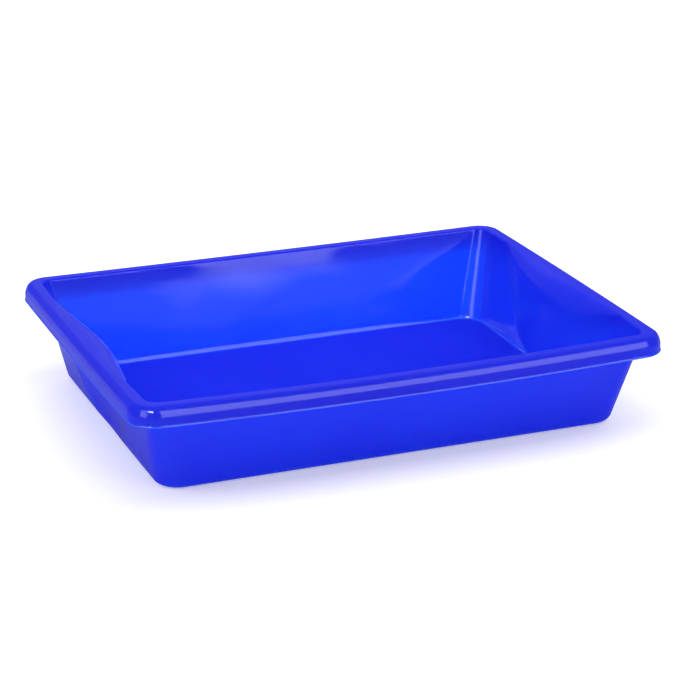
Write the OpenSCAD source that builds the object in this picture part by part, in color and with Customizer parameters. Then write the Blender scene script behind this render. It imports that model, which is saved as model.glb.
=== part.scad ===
// Shallow rectangular mud pan, moulded in one thickness of blue plastic.
// The frame is centred on the base: +X along the length, +Y along the width, +Z up,
// with the underside of the floor at Z = 0. Each module is one region of the moulding,
// and neighbouring regions share the same section points, so they meet face to face.

/* [Overall] */
// Height from the underside to the top of the rim at the corners
pan_h = 72.5; // [60:0.5:80]
// Thickness of the moulding
wall_t = 2.2; // [1.8:0.1:2.8]

/* [Rim] */
// Length over the rim, at the corners
rim_l = 400; // [390:1:410]
// Width over the rim, at the corners
rim_w = 304; // [298:1:312]
// Width of the rim from its outer face to the mouth of the pan
rim_land = 14; // [13:0.5:17]
// Height of the skirt that hangs from the rim
skirt_h = 13.5; // [11:0.5:16]
// Lean of the skirt, outwards as it goes down
skirt_lean = 6; // [0:1:15]
// Radius between the top of the rim and the skirt
rim_r = 7.6; // [5:0.1:9]
// Radius of the rim's inner edge, away from the finger grips
edge_r = 1.9; // [1.2:0.1:2.4]
// Plan radius of the rim's outer corners
rim_corner_r = 20; // [18:1:30]

/* [Base] */
// Outer length of the base, measured at the bend
base_l = 351; // [345:1:356]
// Outer width of the base, measured at the bend
base_w = 252; // [246:1:256]
// Outer radius of the bend between the floor and the walls
bend_r = 6.5; // [5:0.1:9]
// Outer plan radius of the corners at the bend
base_corner_r = 19; // [14:1:24]
// Outer plan radius of the corners at the mouth
mouth_corner_r = 11; // [9:1:24]

/* [Finger grips] */
// Distance from the pan's centre to the deepest line of a grip's outer face
grip_x = 173.7; // [172:0.1:178]
// Plan radius of a grip's hollow
grip_r = 287; // [260:1:360]
// Radius of the rim's inner edge over the middle of a grip
grip_roll_r = 15.5; // [10:0.1:15.5]

/* [Bowing] */
// Outward bow of the long rims at mid length
side_bow = 4.3; // [0:0.1:6]
// Sag of the long rims at mid length
side_sag = 2.3; // [0:0.1:3]
// Outward bow of the end rims at mid width
end_bow = 1.2; // [0:0.1:3]
// Further outward bow of the flat end walls at the mouth
mouth_bow = 2.5; // [0:0.1:3]

/* [Smoothness] */
// Steps along each long side
side_steps = 14; // [8:1:20]
// Steps around each corner
corner_steps = 8; // [6:1:12]
// Steps across each grip
grip_steps = 16; // [10:2:20]
// Steps across the flat wall on each side of a grip
flank_steps = 4; // [3:1:6]
// Steps up each wall
wall_steps = 8; // [6:1:12]
// Steps around the bend at the base
bend_steps = 5; // [3:1:8]
// Steps around each edge of the rim
edge_steps = 5; // [3:1:8]

/* [Hidden] */

wall_blue = "#2a37e0";
rim_blue = "#3a48ee";
floor_blue = "#2834e6";

// Radii of the moulding's outer and inner faces at the bend
outer_r = bend_r;
inner_r = bend_r - wall_t;
// Height of the flange's underside
flange_z = pan_h - wall_t;
// Distance from the skirt's lower edge in to the centre of the rim's outer radius
rim_centre = (rim_r + (skirt_h - rim_r) * sin(skirt_lean)) / cos(skirt_lean);
// Radius of the fillet under the flange, away from the grips
fillet_r = 1;
// Half width of a grip where its outline starts, just above the bend
grip_foot = 6;
// Growth of the inner edge's radius for each millimetre of a grip's depth
roll_growth = 1.1;
// Share of an end wall's stations that belongs to the grip, as a half range
grip_share = 0.5;

// Lean of a wall from the vertical, when its inner face runs from the bend to a mouth
// that lies run further out than the bend's centre line
function lean(run) =
    let (rise = pan_h - bend_r)
    atan2(run, rise) - asin(inner_r / norm([run, rise]));
end_lean = lean((rim_l - base_l) / 2 - rim_land + bend_r);
side_lean = lean((rim_w - base_w) / 2 - rim_land + bend_r);
mean_lean = (end_lean + side_lean) / 2;

// Outward distance of a face from the bend's centre line at height z
function reach(z, r, angle) =
    let (tangent_z = bend_r - r * sin(angle))
    z < tangent_z
        ? sqrt(max(0, r * r - pow(bend_r - z, 2)))
        : r * cos(angle) + (z - tangent_z) * tan(angle);

// A ring is [half length, half width, corner radius, height]. This one is the wall's
// face at height z: r is outer_r or inner_r, and out moves the ring outwards
function face_ring(z, r, out = 0, ring_z = undef) = [
    base_l / 2 - bend_r + reach(z, r, end_lean) + out,
    base_w / 2 - bend_r + reach(z, r, side_lean) + out,
    base_corner_r - bend_r + reach(z, r, 0)
        + (mouth_corner_r - base_corner_r) * z / pan_h + out,
    is_undef(ring_z) ? z : ring_z
];
// The rim's ring, a distance in from its outer face
function rim_ring(inset, z) =
    [rim_l / 2 - inset, rim_w / 2 - inset, rim_corner_r - inset, z];

// The long rims bow out and sag, and the end rims bow out a little. Both fade to
// nothing at the floor
function bowed(p) =
    let (
        fade = max(0, (p.z - wall_t) / (pan_h - wall_t)),
        along = 1 - pow(2 * p.x / rim_l, 2),
        across = 1 - pow(2 * p.y / rim_w, 2)
    )
    [
        p.x * (1 + fade * across * end_bow * 2 / rim_l),
        p.y * (1 + fade * along * side_bow * 2 / rim_w),
        p.z - fade * along * side_sag * pow(2 * p.y / rim_w, 2)
    ];

// --- Stations: where a section crosses the pan's plan ---
// A station is ["side", -1..1], ["corner", angle] or ["end", -1..1]. They run from the
// front's left end, around the front right corner, to the right end's back.

// Outer plan curve of a grip, moved in by the wall's thickness on the inside
function grip_curve(y, r) = grip_x - (outer_r - r) + y * y / (2 * grip_r);
// Bow of the flat end wall at height z
function wall_bow(z) = mouth_bow * z / pan_h;
// Half width of a grip's outline on an end wall, where ring is the wall's face
function grip_half(ring, r) =
    let (
        bow = wall_bow(ring[3]),
        half_wall = ring[1] - ring[2],
        depth = ring[0] + bow - grip_curve(0, r)
    )
    sqrt(max(grip_foot * grip_foot,
        depth / (1 / (2 * grip_r) + bow / (half_wall * half_wall))));
// Distance across an end at station u: the grip's share in the middle, flat wall beyond
function end_y(u, half_grip, half_wall) =
    abs(u) <= grip_share
        ? u / grip_share * half_grip
        : sign(u) * (half_grip
            + (abs(u) - grip_share) / (1 - grip_share) * (half_wall - half_grip));

// Height where a face of the flat end wall meets its rounded edge
function flank_top(r) =
    r == inner_r ? pan_h - edge_r * (1 - sin(end_lean))
    : flange_z - fillet_r * (1 - sin(end_lean));
// The ring at that height, which the outline of a grip is measured on above the wall
function flank_ring(r) = face_ring(flank_top(r), r);

// Plan point of a ring at a station. face is the wall's ring that the station's grip
// outline is measured on. On an end, hollow_r is the radius of the face that the grip
// cuts into, or 0 on the rim, and out is the ring's distance outside that face
function plan_point(station, ring, face, hollow_r, out = 0) =
    let (
        u = station[1], half_l = ring[0], half_w = ring[1], r = ring[2], z = ring[3],
        face_r = hollow_r > 0 ? hollow_r : outer_r
    )
    station[0] == "side" ? [u * (half_l - r), -half_w, z]
    : station[0] == "corner" ? [half_l - r + r * sin(u), -half_w + r - r * cos(u), z]
    : let (
        half_wall = half_w - r,
        y = end_y(u, grip_half(face, face_r), half_wall),
        bow = wall_bow(face[3]) * (1 - pow(y / half_wall, 2)),
        x = hollow_r > 0 ? min(half_l + bow, grip_curve(y, face_r) + out) : half_l
    )
    [x, y, z];

// --- Sections ---
// Depth of the grip's hollow below the flat end wall at the mouth, at a station
function hollow_depth(station) =
    station[0] != "end" ? 0
    : let (
        mouth = flank_ring(outer_r),
        half_wall = mouth[1] - mouth[2],
        y = end_y(station[1], grip_half(mouth, outer_r), half_wall),
        flat = mouth[0] + wall_bow(mouth[3]) * (1 - pow(y / half_wall, 2))
    )
    max(0, flat - grip_curve(y, outer_r));
// Radius of the rim's inner edge, and of the fillet under it, at a station
function roll_r(station) =
    min(grip_roll_r, edge_r + roll_growth * hollow_depth(station));
function under_r(station) = max(fillet_r, roll_r(station) - wall_t);
// Lean of the wall at a station
function lean_at(station) =
    station[0] == "side" ? side_lean
    : station[0] == "corner" ? side_lean + (end_lean - side_lean) * station[1] / 90
    : abs(station[1]) < grip_share ? 0 : end_lean;
// Top and radius of the rounded edge that a face runs into: the rim's inner edge on the
// inside, the fillet under the flange on the outside
function edge_of(station, r) =
    r == inner_r ? [pan_h, roll_r(station)] : [flange_z, under_r(station)];
// Height at which a face ends and its rounded edge starts
function face_top(station, r) =
    let (edge = edge_of(station, r))
    edge[0] - edge[1] * (1 - sin(lean_at(station)));

// Points of one face, from the floor up the bend
function bend_heights(r) =
    [for (i = [0:bend_steps]) bend_r - r * cos(i * (90 - mean_lean) / bend_steps)];
function face_point(station, z, outline_z, r) =
    bowed(plan_point(station, face_ring(z, r), face_ring(outline_z, r), r));
function bend_chain(station, r) =
    [for (z = bend_heights(r)) face_point(station, z, z, r)];
// Points of one face, from the bend up to its rounded edge
function wall_chain(station, r) =
    let (
        low = bend_heights(r)[bend_steps],
        rise = face_top(station, r) - low,
        outline_rise = flank_top(r) - low
    )
    [
        for (i = [0:wall_steps])
            let (share = i / wall_steps)
            face_point(station, low + rise * share, low + outline_rise * share, r)
    ];
// Points of one face of the rim: the rounded edge, the flange, the outer edge, the skirt
function rim_chain(station, r) =
    let (
        tilt = lean_at(station),
        top = edge_of(station, r)[0],
        edge = edge_of(station, r)[1],
        face_z = face_top(station, r),
        skin = r == inner_r ? 0 : wall_t,
        outer_edge = rim_r - skin
    )
    [
        for (i = [0:edge_steps])
            let (
                a = 180 - tilt - i * (90 - tilt) / edge_steps,
                out = edge * (cos(tilt) + cos(a)),
                ring = face_ring(face_z, r, out, top - edge + edge * sin(a))
            )
            bowed(plan_point(station, ring, flank_ring(r), r, out)),
        for (i = [0:edge_steps])
            let (
                a = 90 - i * (90 - skirt_lean) / edge_steps,
                ring = rim_ring(rim_centre - outer_edge * cos(a),
                    pan_h - rim_r + outer_edge * sin(a))
            )
            bowed(plan_point(station, ring, flank_ring(outer_r), 0)),
        bowed(plan_point(station, rim_ring(skin / cos(skirt_lean), pan_h - skirt_h),
            flank_ring(outer_r), 0))
    ];

// --- Solids ---
// A solid between two skins. Each skin is a list of chains, one per station, and the
// outer skin lies to the right of the inner one when looking along the stations
module shell(outer, inner) {
    n = len(outer);
    k = len(outer[0]);
    size = n * k;
    points = [for (chain = outer) each chain, for (chain = inner) each chain];
    function quad(a, b, c, d) = [[a, b, c], [a, c, d]];
    skins = [
        for (i = [0:n - 2], j = [0:k - 2])
            let (a = i * k + j, b = a + 1, c = a + k + 1, d = a + k)
            each concat(quad(a, b, c, d),
                quad(size + d, size + c, size + b, size + a))
    ];
    ends = [
        for (j = [0:k - 2])
            let (last = (n - 1) * k)
            each concat(quad(j, size + j, size + j + 1, j + 1),
                quad(last + j + 1, last + j + 1 + size, last + j + size, last + j))
    ];
    edges = [
        for (i = [0:n - 2])
            let (low = i * k, next = low + k, top = low + k - 1, next_top = next + k - 1)
            each concat(quad(low, next, size + next, size + low),
                quad(top, size + top, size + next_top, next_top))
    ];
    polyhedron(points, concat(skins, ends, edges), convexity = 6);
}

side_stations = [for (i = [0:side_steps]) ["side", -1 + 2 * i / side_steps]];
corner_stations = [for (i = [0:corner_steps]) ["corner", 90 * i / corner_steps]];
grip_stations =
    [for (i = [0:grip_steps]) ["end", grip_share * (-1 + 2 * i / grip_steps)]];
front_flank_stations =
    [for (i = [0:flank_steps]) ["end", -1 + (1 - grip_share) * i / flank_steps]];
back_flank_stations =
    [for (i = [0:flank_steps]) ["end", grip_share + (1 - grip_share) * i / flank_steps]];
// All the stations of an end, from its front to its back
end_stations = [
    each front_flank_stations,
    for (i = [1:grip_steps]) grip_stations[i],
    for (i = [1:flank_steps]) back_flank_stations[i]
];

module bend_part(stations) {
    shell([for (s = stations) bend_chain(s, outer_r)],
        [for (s = stations) bend_chain(s, inner_r)]);
}
module wall_part(stations) {
    shell([for (s = stations) wall_chain(s, outer_r)],
        [for (s = stations) wall_chain(s, inner_r)]);
}
module corner_part() {
    function tall_chain(s, r) =
        concat(bend_chain(s, r), [for (i = [1:wall_steps]) wall_chain(s, r)[i]]);
    shell([for (s = corner_stations) tall_chain(s, outer_r)],
        [for (s = corner_stations) tall_chain(s, inner_r)]);
}
module rim_part(stations) {
    shell([for (s = stations) rim_chain(s, outer_r)],
        [for (s = stations) rim_chain(s, inner_r)]);
}

// --- The regions of the pan ---
// Flat floor, out to where the bend starts
module floor() {
    ring = face_ring(0, outer_r);
    corner = [
        for (s = corner_stations)
            let (p = plan_point(s, ring, ring, outer_r))
            [p.x, p.y]
    ];
    function flipped(points, fx, fy) = [for (p = points) [p.x * fx, p.y * fy]];
    function backwards(points) = [for (i = [len(points) - 1:-1:0]) points[i]];
    color(floor_blue)
    linear_extrude(wall_t)
    polygon(concat(corner, backwards(flipped(corner, 1, -1)),
        flipped(corner, -1, -1), backwards(flipped(corner, -1, 1))));
}

module front_base_bend() {
    color(floor_blue) bend_part(side_stations);
}
module back_base_bend() {
    mirror([0, 1, 0]) front_base_bend();
}
module right_base_bend() {
    color(floor_blue) bend_part(end_stations);
}
module left_base_bend() {
    mirror([1, 0, 0]) right_base_bend();
}

module front_wall() {
    color(wall_blue) wall_part(side_stations);
}
module back_wall() {
    mirror([0, 1, 0]) front_wall();
}
// The flat parts of the end wall, in front of the grip and behind it
module right_end_wall() {
    color(wall_blue) {
        wall_part(front_flank_stations);
        wall_part(back_flank_stations);
    }
}
module left_end_wall() {
    mirror([1, 0, 0]) right_end_wall();
}
// The hollow under the rim that the fingers go into
module right_finger_grip() {
    color(wall_blue) wall_part(grip_stations);
}
module left_finger_grip() {
    mirror([1, 0, 0]) right_finger_grip();
}

module front_right_corner() {
    color(wall_blue) corner_part();
}
module front_left_corner() {
    mirror([1, 0, 0]) front_right_corner();
}
module back_right_corner() {
    mirror([0, 1, 0]) front_right_corner();
}
module back_left_corner() {
    mirror([1, 0, 0]) back_right_corner();
}

// The rim's flange and its hanging skirt
module front_rim() {
    color(rim_blue) rim_part(side_stations);
}
module back_rim() {
    mirror([0, 1, 0]) front_rim();
}
module right_rim() {
    color(rim_blue) rim_part(end_stations);
}
module left_rim() {
    mirror([1, 0, 0]) right_rim();
}
module front_right_rim_corner() {
    color(rim_blue) rim_part(corner_stations);
}
module front_left_rim_corner() {
    mirror([1, 0, 0]) front_right_rim_corner();
}
module back_right_rim_corner() {
    mirror([0, 1, 0]) front_right_rim_corner();
}
module back_left_rim_corner() {
    mirror([1, 0, 0]) back_right_rim_corner();
}

floor();
front_base_bend();
back_base_bend();
left_base_bend();
right_base_bend();
front_wall();
back_wall();
left_end_wall();
right_end_wall();
left_finger_grip();
right_finger_grip();
front_left_corner();
front_right_corner();
back_left_corner();
back_right_corner();
front_rim();
back_rim();
left_rim();
right_rim();
front_left_rim_corner();
front_right_rim_corner();
back_left_rim_corner();
back_right_rim_corner();
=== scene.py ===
"""Mud pan: the visual model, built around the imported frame.

The pan is one blue moulding, so it is one closed skin here: a run of sections round the
pan's plan, each from the floor up the wall, over the rim, round the skirt's lower edge and
back down the outside. The sections follow the same construction as the CAD nodes.
"""
import math

import bpy
import numpy as np
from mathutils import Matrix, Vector


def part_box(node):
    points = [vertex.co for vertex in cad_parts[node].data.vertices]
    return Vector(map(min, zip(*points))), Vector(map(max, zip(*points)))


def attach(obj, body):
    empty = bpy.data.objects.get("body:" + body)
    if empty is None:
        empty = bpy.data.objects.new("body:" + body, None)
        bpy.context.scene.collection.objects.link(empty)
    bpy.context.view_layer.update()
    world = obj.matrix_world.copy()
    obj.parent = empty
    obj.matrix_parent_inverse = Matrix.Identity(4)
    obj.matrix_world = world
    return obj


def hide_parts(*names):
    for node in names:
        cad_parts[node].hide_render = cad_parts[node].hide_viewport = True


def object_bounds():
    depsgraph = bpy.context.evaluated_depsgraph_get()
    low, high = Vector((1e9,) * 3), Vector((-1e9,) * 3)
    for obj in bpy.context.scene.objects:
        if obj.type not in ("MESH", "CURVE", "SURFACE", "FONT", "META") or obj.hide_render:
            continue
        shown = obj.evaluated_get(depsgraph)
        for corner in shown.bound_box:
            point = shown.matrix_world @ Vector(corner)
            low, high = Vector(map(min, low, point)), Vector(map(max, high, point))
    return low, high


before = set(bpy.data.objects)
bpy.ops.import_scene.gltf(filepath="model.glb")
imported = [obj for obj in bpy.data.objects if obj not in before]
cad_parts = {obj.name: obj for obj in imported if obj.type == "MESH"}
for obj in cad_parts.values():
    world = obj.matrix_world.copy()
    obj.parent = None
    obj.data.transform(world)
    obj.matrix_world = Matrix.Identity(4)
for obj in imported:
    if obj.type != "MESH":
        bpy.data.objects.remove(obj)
cad_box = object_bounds()

MM = 0.001

# --- Sizes in millimetres. The height, the thickness and the base come from the CAD ---
BEND_R = 6.5  # outside radius of the bend between the floor and the walls
floor_lo, floor_hi = (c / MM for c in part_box("floor"))
PAN_H = cad_box[1].z / MM
WALL_T = floor_hi.z - floor_lo.z
# The base is the flat floor, rounded to the micrometre, and a bend on each side of it
BASE_L = round(floor_hi.x - floor_lo.x, 3) + 2 * BEND_R
BASE_W = round(floor_hi.y - floor_lo.y, 3) + 2 * BEND_R
BASE_CORNER_R = 19.0  # plan radius of the outer corners at the bend
MOUTH_CORNER_R = 11.0  # plan radius of the outer corners at the mouth
# Each face of the moulding is named by its radius in the bend
INNER, OUTER = BEND_R - WALL_T, BEND_R
EASY_R, EASY_ANGLE = 12.0, math.radians(28)  # the easy curve in the inside of the bend

# The rim, a flange with a skirt that leans outwards as it goes down
RIM_L, RIM_W = 400.0, 304.0  # over the rim, at its corners
RIM_LAND = 14.0  # from the rim's outer face to the mouth of the pan
RIM_CORNER_R = 20.0
FLANGE_Z = PAN_H - WALL_T
EDGE_R = 1.9  # radius of the rim's inner edge, away from the grips
FILLET_R = 1.0  # radius of the fillet under the flange, away from the grips
SKIRT_H = 13.5
SKIRT_LEAN = math.radians(6)
# The rim's outer face in arcs: slope of the normal at the start and the end, and radius
RIM_ARCS = [
    (math.radians(90), math.radians(31), 5.0),
    (math.radians(31), math.radians(16), 18.0),
    (math.radians(16), SKIRT_LEAN, 4.0),
]
# The bead of flash along the skirt's lower edge. Its points are distances in from the pan's
# outline and up from that edge
BEAD = 0.35  # how far it stands out from the skirt
BEAD_H = 1.0
BEAD_POINTS = [(0.28, 0.85), (0.18, 0.65), (0.08, 0.45), (0.0, 0.25), (0.02, 0.12), (0.12, 0.03),
               (0.35, 0.0)]
# The inside of the skirt's lower edge: distances out from the skirt's inner face, and up
SKIRT_EDGE = [(0.0, 0.5), (0.15, 0.15), (0.55, 0.0)]
SLACK = 0.06  # keeps the smooth outline inside the box of the faceted CAD

# The finger grips, a hollow in each end wall under the rim
GRIP_X = 173.7  # from the pan's centre to the deepest line of a grip's outer face
GRIP_R = 287.0  # plan radius of a hollow
GRIP_ROLL_R = 15.5  # radius of the rim's inner edge over the middle of a grip
GRIP_FOOT = 6.0  # half width of a grip's outline where it starts, just above the bend
GRIP_SHARE = 0.5  # share of an end's stations that belongs to the grip
UPRIGHT_DEPTH = 1.2  # depth of the hollow from which the wall under the edge is upright
ROLL_GROWTH = 1.1  # growth of the inner edge's radius for each millimetre of depth
ROLL_BLEND = 1.0  # softening where the inner edge's radius stops growing
FILLET_BLEND = 0.6  # softening where the fillet's radius starts to grow
CREASE = 0.9  # softening of the line where a grip meets the flat end wall

# The bows of the rims and walls, and the waves that uneven cooling leaves
SIDE_BOW, SIDE_SAG = 4.3, 2.3  # of the long rims at mid length
END_BOW = 1.2  # of the end rims at mid width
MOUTH_BOW = 2.5  # further bow of the flat end walls at the mouth
WALL_WAVE, FLOOR_WAVE = 0.16, 0.10  # about the height of a wave
WAVE_GROWS, WAVE_FADES = (6, 22), (62, 71)  # heights between which the walls' waves do so
FLOOR_WAVE_GROWS = (0.0, 0.25)  # the same, as shares of the way from the edge to the middle

SIDE_STEPS, CORNER_STEPS, GRIP_STEPS, FLANK_STEPS = 64, 16, 52, 14
BEND_STEPS, WALL_STEPS, EDGE_STEPS, RIM_STEPS, SKIRT_STEPS = 10, 16, 12, 7, 4
FLOOR_RINGS = 26
WALL_POINTS = BEND_STEPS + WALL_STEPS + 1


# --- Rings: the pan's plan at one height, as half length, half width, corner radius, height ---
def wall_lean(run):
    """Lean of a wall whose inner face runs from the bend to a mouth that lies run further
    out than the bend's centre line."""
    rise = PAN_H - BEND_R
    return math.atan2(run, rise) - math.asin(INNER / math.hypot(run, rise))


END_LEAN = wall_lean((RIM_L - BASE_L) / 2 - RIM_LAND + BEND_R)
SIDE_LEAN = wall_lean((RIM_W - BASE_W) / 2 - RIM_LAND + BEND_R)
MEAN_LEAN = (END_LEAN + SIDE_LEAN) / 2


def reach(z, face, lean):
    """Outward distance of a face from the bend's centre line at height z."""
    tangent_z = BEND_R - face * math.sin(lean)
    if z < tangent_z:
        return math.sqrt(max(0.0, face * face - (BEND_R - z) ** 2))
    return face * math.cos(lean) + (z - tangent_z) * math.tan(lean)


def face_ring(z, face, out=0.0, ring_z=None):
    """Ring of the wall's face at height z, moved outwards by out, and to height ring_z if
    that is given."""
    return (
        BASE_L / 2 - BEND_R + reach(z, face, END_LEAN) + out,
        BASE_W / 2 - BEND_R + reach(z, face, SIDE_LEAN) + out,
        BASE_CORNER_R - BEND_R + reach(z, face, 0.0)
        + (MOUTH_CORNER_R - BASE_CORNER_R) * z / PAN_H + out,
        z if ring_z is None else ring_z,
    )


def rim_ring(inset, z):
    return (RIM_L / 2 - inset, RIM_W / 2 - inset, RIM_CORNER_R - inset, z)


def flank_top(face):
    """Height where a face of the flat end wall meets its rounded edge."""
    if face == INNER:
        return PAN_H - EDGE_R * (1 - math.sin(END_LEAN))
    return FLANGE_Z - FILLET_R * (1 - math.sin(END_LEAN))


FLANK = {face: face_ring(flank_top(face), face) for face in (INNER, OUTER)}


def bowed(point):
    """The long rims bow out and sag, the end rims bow out, and both fade to the floor."""
    x, y, z = point
    fade = max(0.0, (z - WALL_T) / (PAN_H - WALL_T))
    along = 1 - (2 * x / RIM_L) ** 2
    across = 1 - (2 * y / RIM_W) ** 2
    return (
        x * (1 + fade * across * END_BOW * 2 / RIM_L),
        y * (1 + fade * along * SIDE_BOW * 2 / RIM_W),
        z - fade * along * SIDE_SAG * (2 * y / RIM_W) ** 2,
    )


# --- Stations: where a section crosses the plan, as ("side", -1 to 1), ("corner", angle) or
# ("end", -1 to 1). They run along the front, round a corner and along the right end ---
def quarter_stations():
    side = [("side", -1 + 2 * i / SIDE_STEPS) for i in range(SIDE_STEPS + 1)]
    corner = [("corner", math.pi / 2 * i / CORNER_STEPS) for i in range(1, CORNER_STEPS + 1)]
    # The stations crowd towards the two lines where a grip meets the flat wall
    flank = [("end", -1 + (1 - GRIP_SHARE) * (1 - (1 - i / FLANK_STEPS) ** 2))
             for i in range(1, FLANK_STEPS)]
    grip = [("end", GRIP_SHARE * math.sin(math.pi * (i / GRIP_STEPS - 0.5)))
            for i in range(GRIP_STEPS + 1)]
    back = [("end", -u) for _, u in reversed(flank)]
    return side, corner, flank + grip + back + [("end", 1.0)]


def outward(station):
    kind, angle = station
    if kind == "side":
        return (0.0, -1.0)
    if kind == "corner":
        return (math.sin(angle), -math.cos(angle))
    return (1.0, 0.0)


def soft_min(a, b, k):
    h = max(k - abs(a - b), 0) / k
    return min(a, b) - h * h * k / 4


def soft_max(a, b, k):
    return -soft_min(-a, -b, k)


def ramp(x, low, high):
    """Smooth step from 0 at low to 1 at high."""
    t = np.clip((x - low) / (high - low), 0, 1)
    return t * t * (3 - 2 * t)


def grip_curve(y, face):
    return GRIP_X - (OUTER - face) + y * y / (2 * GRIP_R)


def wall_bow(z):
    return MOUTH_BOW * z / PAN_H


def grip_half(ring, face):
    """Half width of a grip's outline on a ring of the wall's face."""
    bow, half_wall = wall_bow(ring[3]), ring[1] - ring[2]
    depth = ring[0] + bow - grip_curve(0, face)
    return math.sqrt(max(GRIP_FOOT ** 2, depth / (1 / (2 * GRIP_R) + bow / half_wall ** 2)))


def end_crossing(u, ring, outline, face):
    """Where a station crosses an end: its y, and the x of the flat wall there. outline is
    the ring of the wall's face on which the grip's width is measured."""
    half_wall, half_grip = ring[1] - ring[2], grip_half(outline, face)
    if abs(u) <= GRIP_SHARE:
        y = u / GRIP_SHARE * half_grip
    else:
        beyond = (abs(u) - GRIP_SHARE) / (1 - GRIP_SHARE)
        y = math.copysign(half_grip + beyond * (half_wall - half_grip), u)
    return y, ring[0] + wall_bow(outline[3]) * (1 - (y / half_wall) ** 2)


def plan_point(station, ring, outline, face=None, out=0.0):
    """Point of a ring at a station. outline is as in end_crossing, face is the one that the
    grip cuts into, or None on the rim, and out is the ring's distance outside that face."""
    kind, u = station
    half_l, half_w, r, z = ring
    if kind == "side":
        return (u * (half_l - r), -half_w, z)
    if kind == "corner":
        return (half_l - r + r * math.sin(u), -half_w + r - r * math.cos(u), z)
    y, flat = end_crossing(u, ring, outline, face or OUTER)
    if face is None:
        return (half_l, y, z)
    return (soft_min(flat, grip_curve(y, face) + out, CREASE), y, z)


# --- Sections ---
def bend_profile(face):
    """Height and shift of the points of the bend. The outside is one round. The inside is a
    tight round at the floor and then an easy curve, which takes the light along the floor."""
    if face == OUTER:
        angles = [i * (math.pi / 2 - MEAN_LEAN) / BEND_STEPS for i in range(BEND_STEPS + 1)]
        return [(BEND_R - face * math.cos(a), 0.0) for a in angles]
    rise = face * (1 - math.sin(MEAN_LEAN))
    easy_rise = EASY_R * (math.sin(EASY_ANGLE) - math.sin(MEAN_LEAN))
    tight_r = (rise - easy_rise) / (1 - math.sin(EASY_ANGLE))
    arcs = [(math.pi / 2, EASY_ANGLE, tight_r), (EASY_ANGLE, MEAN_LEAN, EASY_R)]
    steps = BEND_STEPS // len(arcs)
    points, x, z = [], 0.0, BEND_R - face
    for start, stop, radius in arcs:
        for i in range(1 if points else 0, steps + 1):
            a = start + (stop - start) * i / steps
            points.append((x + radius * (math.cos(a) - math.cos(start)),
                           z + radius * (math.sin(start) - math.sin(a))))
        x, z = points[-1]
    anchor = reach(z, face, MEAN_LEAN) - x
    return [(pz, px + anchor - reach(pz, face, MEAN_LEAN)) for px, pz in points]


def rim_profile():
    """Inset, height and slope of the rim's outer face: tight at the flat top, then an easy
    curve that takes the long highlight, then the start of the skirt."""
    points, inset, z = [], 0.0, PAN_H
    for start, stop, radius in RIM_ARCS:
        for i in range(1 if points else 0, RIM_STEPS + 1):
            a = start + (stop - start) * i / RIM_STEPS
            points.append((inset + radius * (math.cos(start) - math.cos(a)),
                           z - radius * (math.sin(start) - math.sin(a)), a))
        inset, z = points[-1][:2]
    shift = (z - PAN_H + SKIRT_H) * math.tan(SKIRT_LEAN) - inset
    return [(inset + shift, z, a) for inset, z, a in points]


def rim_points(face):
    """Inset and height of a face of the rim, from its flat top to the end of the skirt. The
    upper face of the flange goes on as the outside of the skirt."""
    skin = 0.0 if face == INNER else WALL_T
    points = [(inset + skin * math.cos(a), z - skin * math.sin(a))
              for inset, z, a in rim_profile()]
    start, start_z = points[-1]
    foot_z = PAN_H - SKIRT_H
    if face == INNER:
        # The skirt moves in towards its foot by the depth of the bead, which then runs out
        # and rounds under the lower edge
        for i in range(1, SKIRT_STEPS + 1):
            t = i / SKIRT_STEPS
            z = start_z + (foot_z + BEAD_H - start_z) * t
            down = (start_z - z) / (start_z - foot_z)
            points.append((start * (1 - down) + BEAD * t, z))
        return points + [(inset, foot_z + up) for inset, up in BEAD_POINTS]
    foot = WALL_T / math.cos(SKIRT_LEAN)
    for i in range(1, SKIRT_STEPS):
        t = i / SKIRT_STEPS
        points.append((start + (foot - start) * t, start_z + (foot_z - start_z) * t))
    return points + [(foot - out, foot_z + up) for out, up in SKIRT_EDGE]


BEND = {face: bend_profile(face) for face in (INNER, OUTER)}
RIM = {face: rim_points(face) for face in (INNER, OUTER)}


def edge_shape(station):
    """Radius of the rim's inner edge, of the fillet under it, and the wall's lean there."""
    kind, u = station
    if kind == "side":
        return EDGE_R, FILLET_R, SIDE_LEAN
    if kind == "corner":
        return EDGE_R, FILLET_R, SIDE_LEAN + (END_LEAN - SIDE_LEAN) * u / (math.pi / 2)
    y, flat = end_crossing(u, FLANK[OUTER], FLANK[OUTER], OUTER)
    depth = flat - soft_min(flat, grip_curve(y, OUTER), CREASE)
    roll = soft_min(GRIP_ROLL_R, EDGE_R + ROLL_GROWTH * depth, ROLL_BLEND)
    under = soft_max(FILLET_R, roll - WALL_T, FILLET_BLEND)
    return roll, under, END_LEAN * (1 - ramp(depth, 0, UPRIGHT_DEPTH))


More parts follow.
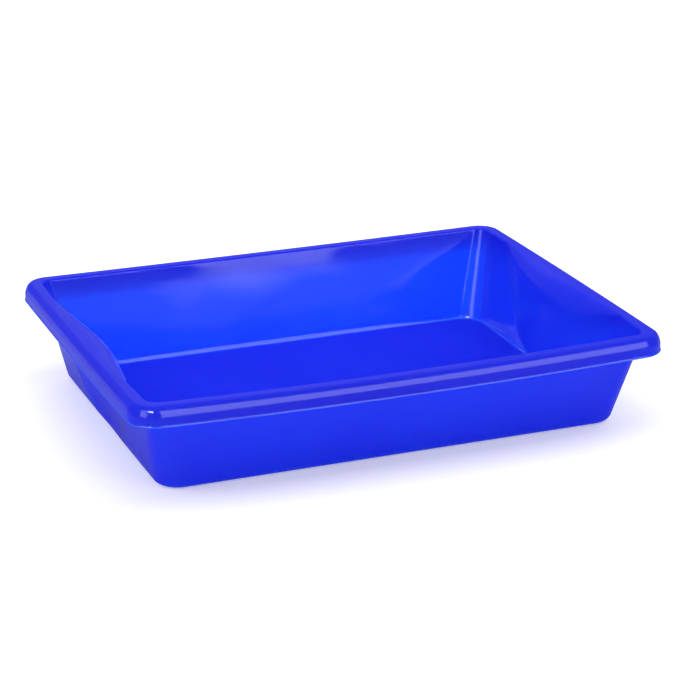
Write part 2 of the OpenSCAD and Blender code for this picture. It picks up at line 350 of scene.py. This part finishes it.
def face_points(station, face):
    """One face of the moulding at a station, from the floor to the end of the skirt."""
    roll, under, lean = edge_shape(station)
    top, edge = (PAN_H, roll) if face == INNER else (FLANGE_Z, under)
    edge_z = top - edge * (1 - math.sin(lean))
    points = []
    for z, shift in BEND[face][:-1]:
        ring = face_ring(z, face, shift)
        points.append(plan_point(station, ring, ring, face))
    low = BEND[face][-1][0]
    for i in range(WALL_STEPS + 1):
        t = i / WALL_STEPS
        ring = face_ring(low + (edge_z - low) * t, face)
        outline = face_ring(low + (flank_top(face) - low) * t, face)
        points.append(plan_point(station, ring, outline, face))
    for i in range(1, EDGE_STEPS + 1):
        a = math.pi - lean - i * (math.pi / 2 - lean) / EDGE_STEPS
        out = edge * (math.cos(lean) + math.cos(a))
        ring = face_ring(edge_z, face, out, top - edge + edge * math.sin(a))
        points.append(plan_point(station, ring, FLANK[face], face, out))
    for inset, z in RIM[face]:
        points.append(plan_point(station, rim_ring(inset + SLACK, z), FLANK[OUTER]))
    return [bowed(p) for p in points]


def section_loop():
    """Sections round the whole pan, as an array of sections by points by 3, and the
    outward direction of each in plan."""
    side, corner, end = quarter_stations()
    stations = side + corner + end
    sections = np.array([face_points(s, INNER) + face_points(s, OUTER)[::-1] for s in stations])
    directions = np.array([outward(s) for s in stations])
    # The next corner is the mirror image of this one, in the opposite order
    turn = slice(len(side), len(side) + len(corner) - 1)
    half = np.concatenate([sections, sections[turn][::-1] * (1, -1, 1)])
    half_directions = np.concatenate([directions, directions[turn][::-1] * (1, -1)])
    loop = np.concatenate([half, half * (-1, -1, 1)])
    return loop, np.concatenate([half_directions, -half_directions])


# --- The skin ---
def waves(points, seed, count, shortest, longest):
    """Smooth random waves in space, about -1 to 1."""
    rng = np.random.default_rng(seed)
    total = np.zeros(points.shape[:-1])
    for _ in range(count):
        direction = rng.normal(size=3)
        direction /= np.linalg.norm(direction)
        length = rng.uniform(shortest, longest)
        phase = rng.uniform(0, 2 * math.pi)
        total += np.sin(points @ direction * (2 * math.pi / length) + phase)
    return total / math.sqrt(count)


def wavy_walls(loop, directions):
    """Moves the walls in and out a little: mouldings cool unevenly, so none is quite flat."""
    z = loop[..., 2]
    share = ramp(z, *WAVE_GROWS) * (1 - ramp(z, *WAVE_FADES))
    share[:, WALL_POINTS:-WALL_POINTS] = 0
    wave = waves(loop, seed=7, count=7, shortest=55, longest=150) * WALL_WAVE
    loop[..., :2] += (wave * share)[..., None] * directions[:, None, :]


def floor_disc(edge, edge_ids, first, up):
    """One face of the floor: rings that shrink towards the middle, then a fan. edge is the
    ring of points around it, edge_ids are their numbers, and new points count from first."""
    n = len(edge)
    points, faces = [], []
    previous = edge_ids
    for ring in range(1, FLOOR_RINGS):
        inwards = ring / FLOOR_RINGS
        ring_points = edge * (1 - inwards, 1 - inwards, 1)
        if up:
            wave = waves(ring_points, seed=11, count=6, shortest=60, longest=170) * FLOOR_WAVE
            ring_points[:, 2] += wave * ramp(inwards, *FLOOR_WAVE_GROWS)
        points.append(ring_points)
        here = range(first, first + n)
        first += n
        faces += [(previous[i], here[i], here[(i + 1) % n], previous[(i + 1) % n])
                  for i in range(n)]
        previous = here
    points.append(np.array([[0.0, 0.0, edge[0, 2]]]))
    faces += [(previous[i], first, previous[(i + 1) % n]) for i in range(n)]
    return points, [face[::-1] for face in faces] if up else faces


def add_object(name, data):
    item = bpy.data.objects.new(name, data)
    bpy.context.scene.collection.objects.link(item)
    return item


def build_pan():
    loop, directions = section_loop()
    wavy_walls(loop, directions)
    n, k = loop.shape[:2]
    points, faces = [loop.reshape(-1, 3)], []
    for i in range(n):
        a, b = i * k, (i + 1) % n * k
        faces += [(a + j, a + j + 1, b + j + 1, b + j) for j in range(k - 1)]
    # The floor's top closes the sections' first points, and its underside their last
    for column, up in ((0, True), (k - 1, False)):
        first = sum(len(p) for p in points)
        disc_points, disc_faces = floor_disc(loop[:, column], range(column, n * k, k), first, up)
        points += disc_points
        faces += disc_faces
    mesh = bpy.data.meshes.new("pan")
    mesh.from_pydata((np.concatenate(points) * MM).tolist(), [], faces)
    mesh.validate()
    mesh.update()
    for polygon in mesh.polygons:
        polygon.use_smooth = True
    return add_object("pan", mesh)


pan = build_pan()
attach(pan, "root")
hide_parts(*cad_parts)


# --- Material ---
def blue_plastic():
    """Glossy plastic, coloured right through, which scatters light below its surface."""
    material = bpy.data.materials.new("blue_plastic")
    material.use_nodes = True
    nodes, links = material.node_tree.nodes, material.node_tree.links
    shader = nodes["Principled BSDF"]
    coords = nodes.new("ShaderNodeTexCoord")

    def noise(scale, detail, roughness=0.5):
        node = nodes.new("ShaderNodeTexNoise")
        node.inputs["Scale"].default_value = scale
        node.inputs["Detail"].default_value = detail
        node.inputs["Roughness"].default_value = roughness
        links.new(coords.outputs["Object"], node.inputs["Vector"])
        return node.outputs["Fac"]

    def spread(value, low, high):
        """Most of a noise lies between 0.3 and 0.7, which becomes low to high."""
        node = nodes.new("ShaderNodeMapRange")
        node.inputs["From Min"].default_value = 0.3
        node.inputs["From Max"].default_value = 0.7
        node.inputs["To Min"].default_value = low
        node.inputs["To Max"].default_value = high
        links.new(value, node.inputs["Value"])
        return node.outputs["Result"]

    # Pigment clouds: two close blues
    colour = nodes.new("ShaderNodeMix")
    colour.data_type = "RGBA"
    colour.inputs["A"].default_value = (0.0145, 0.020, 0.76, 1)
    colour.inputs["B"].default_value = (0.0175, 0.025, 0.82, 1)
    links.new(spread(noise(scale=9.0, detail=3.0), 0, 1), colour.inputs["Factor"])
    links.new(colour.outputs["Result"], shader.inputs["Base Color"])
    # Gloss that varies a little, as on a handled moulding
    gloss = noise(scale=22.0, detail=4.0, roughness=0.6)
    links.new(spread(gloss, 0.06, 0.10), shader.inputs["Roughness"])
    # The faint skin texture of moulded plastic
    bump = nodes.new("ShaderNodeBump")
    bump.inputs["Strength"].default_value = 0.06
    bump.inputs["Distance"].default_value = 0.0002
    links.new(noise(scale=900.0, detail=2.0), bump.inputs["Height"])
    links.new(bump.outputs["Normal"], shader.inputs["Normal"])
    shader.inputs["IOR"].default_value = 1.49
    shader.inputs["Specular IOR Level"].default_value = 0.4
    shader.inputs["Subsurface Weight"].default_value = 1.0
    shader.inputs["Subsurface Radius"].default_value = (0.6, 1.25, 1.2)
    shader.inputs["Subsurface Scale"].default_value = 0.0075
    return material


pan.data.materials.append(blue_plastic())


# --- Stage, lights and camera, in metres ---
STAGE = 12.0  # half the width of the floors
# Each floor's height, grey level and glow. The pale floor is the one that is seen. The grey
# one takes its place in reflections, so that the glossy walls don't mirror a white floor
PALE_FLOOR = (-0.0001, 0.88, 0.35)
GREY_FLOOR = (-0.00005, 0.35, 0.0)

# Soft studio light. The fills give matt light and aren't seen as reflections; the boxes are
# seen as reflections and give no matt light
LIGHT_DISTANCE = 2.4
#    name         azimuth  elevation  width  height  radiance
FILLS = [
    ("top_fill",        0,      90.0,   2.6,    2.2,      1.4),
    ("front_fill",    158,      35.0,   1.6,    1.4,      1.3),
    ("right_fill",     90,      40.0,   1.6,    1.4,      1.7),
    ("left_fill",     -90,      40.0,   1.6,    1.4,      2.6),
    ("back_panel",     15,       9.5,   3.2,    0.8,      8.5),
]
BOXES = [
    ("front_box",     158,      28.0,   1.7,    1.3,      3.1),
    ("left_box",     -118,      25.0,   1.0,    1.4,      3.0),
    ("corner_box",   -142,      39.0,   0.6,    0.6,     18.0),
    ("back_glow",      14,      22.0,   1.1,    1.0,     0.08),
    ("front_glow",    158,       5.5,   2.4,    0.5,      0.3),
]

CAMERA_TARGET = Vector((0.01079, -0.00633, 0.03817))
CAMERA_AZIMUTH, CAMERA_ELEVATION, CAMERA_DISTANCE = 201.82, 20.03, 1.74683
CAMERA_LENS, CAMERA_SENSOR = 120.61, 36  # millimetres

# Brightness of the backdrop to the camera, in reflections and to everything else
BACKDROP, BACKDROP_MIRRORED, BACKDROP_MATT = 0.95, 0.15, 0.22


def toward(azimuth, elevation, distance):
    """A point at a compass direction from the pan: 0 is +Y and 90 is +X."""
    a, e = math.radians(azimuth), math.radians(elevation)
    return Vector((distance * math.sin(a) * math.cos(e), distance * math.cos(a) * math.cos(e),
                   distance * math.sin(e)))


def aim(item, place, target):
    item.location = place
    item.rotation_euler = (target - place).to_track_quat("-Z", "Y").to_euler()


def make_floor(name, height, grey, glow):
    corners = [(-STAGE, -STAGE, 0), (STAGE, -STAGE, 0), (STAGE, STAGE, 0), (-STAGE, STAGE, 0)]
    mesh = bpy.data.meshes.new(name)
    mesh.from_pydata(corners, [], [(0, 1, 2, 3)])
    material = bpy.data.materials.new(name)
    material.use_nodes = True
    shader = material.node_tree.nodes["Principled BSDF"]
    shader.inputs["Base Color"].default_value = (grey, grey, grey, 1)
    shader.inputs["Roughness"].default_value = 0.9
    shader.inputs["Specular IOR Level"].default_value = 0.0
    shader.inputs["Emission Color"].default_value = (1, 1, 1, 1)
    shader.inputs["Emission Strength"].default_value = glow
    mesh.materials.append(material)
    floor = add_object(name, mesh)
    floor.location.z = height
    return floor


def make_light(name, azimuth, elevation, width, height, radiance):
    light = bpy.data.lights.new(name, "AREA")
    light.shape = "RECTANGLE"
    light.size, light.size_y = width, height
    light.energy = radiance * math.pi * width * height
    box = add_object(name, light)
    aim(box, toward(azimuth, elevation, LIGHT_DISTANCE), Vector((0, 0, 0)))
    return box


def make_camera():
    data = bpy.data.cameras.new("camera")
    data.sensor_width = CAMERA_SENSOR
    data.lens = CAMERA_LENS
    camera = add_object("camera", data)
    place = CAMERA_TARGET + toward(CAMERA_AZIMUTH, CAMERA_ELEVATION, CAMERA_DISTANCE)
    aim(camera, place, CAMERA_TARGET)
    bpy.context.scene.camera = camera


def make_world():
    world = bpy.data.worlds.new("world")
    world.use_nodes = True
    tree = world.node_tree
    background = tree.nodes["Background"]
    background.inputs["Color"].default_value = (1, 1, 1, 1)
    rays = tree.nodes.new("ShaderNodeLightPath")
    unseen = tree.nodes.new("ShaderNodeMix")
    unseen.inputs["A"].default_value = BACKDROP_MATT
    unseen.inputs["B"].default_value = BACKDROP_MIRRORED
    tree.links.new(rays.outputs["Is Glossy Ray"], unseen.inputs["Factor"])
    strength = tree.nodes.new("ShaderNodeMix")
    strength.inputs["B"].default_value = BACKDROP
    tree.links.new(unseen.outputs["Result"], strength.inputs["A"])
    tree.links.new(rays.outputs["Is Camera Ray"], strength.inputs["Factor"])
    tree.links.new(strength.outputs["Result"], background.inputs["Strength"])
    bpy.context.scene.world = world


pale_floor = make_floor("pale_floor", *PALE_FLOOR)
pale_floor.visible_glossy = False
grey_floor = make_floor("grey_floor", *GREY_FLOOR)
grey_floor.visible_camera = False
grey_floor.visible_diffuse = False
grey_floor.visible_shadow = False
for row in FILLS:
    make_light(*row).visible_glossy = False
for row in BOXES:
    make_light(*row).visible_diffuse = False
make_camera()
make_world()
bpy.context.scene.view_settings.view_transform = "Standard"
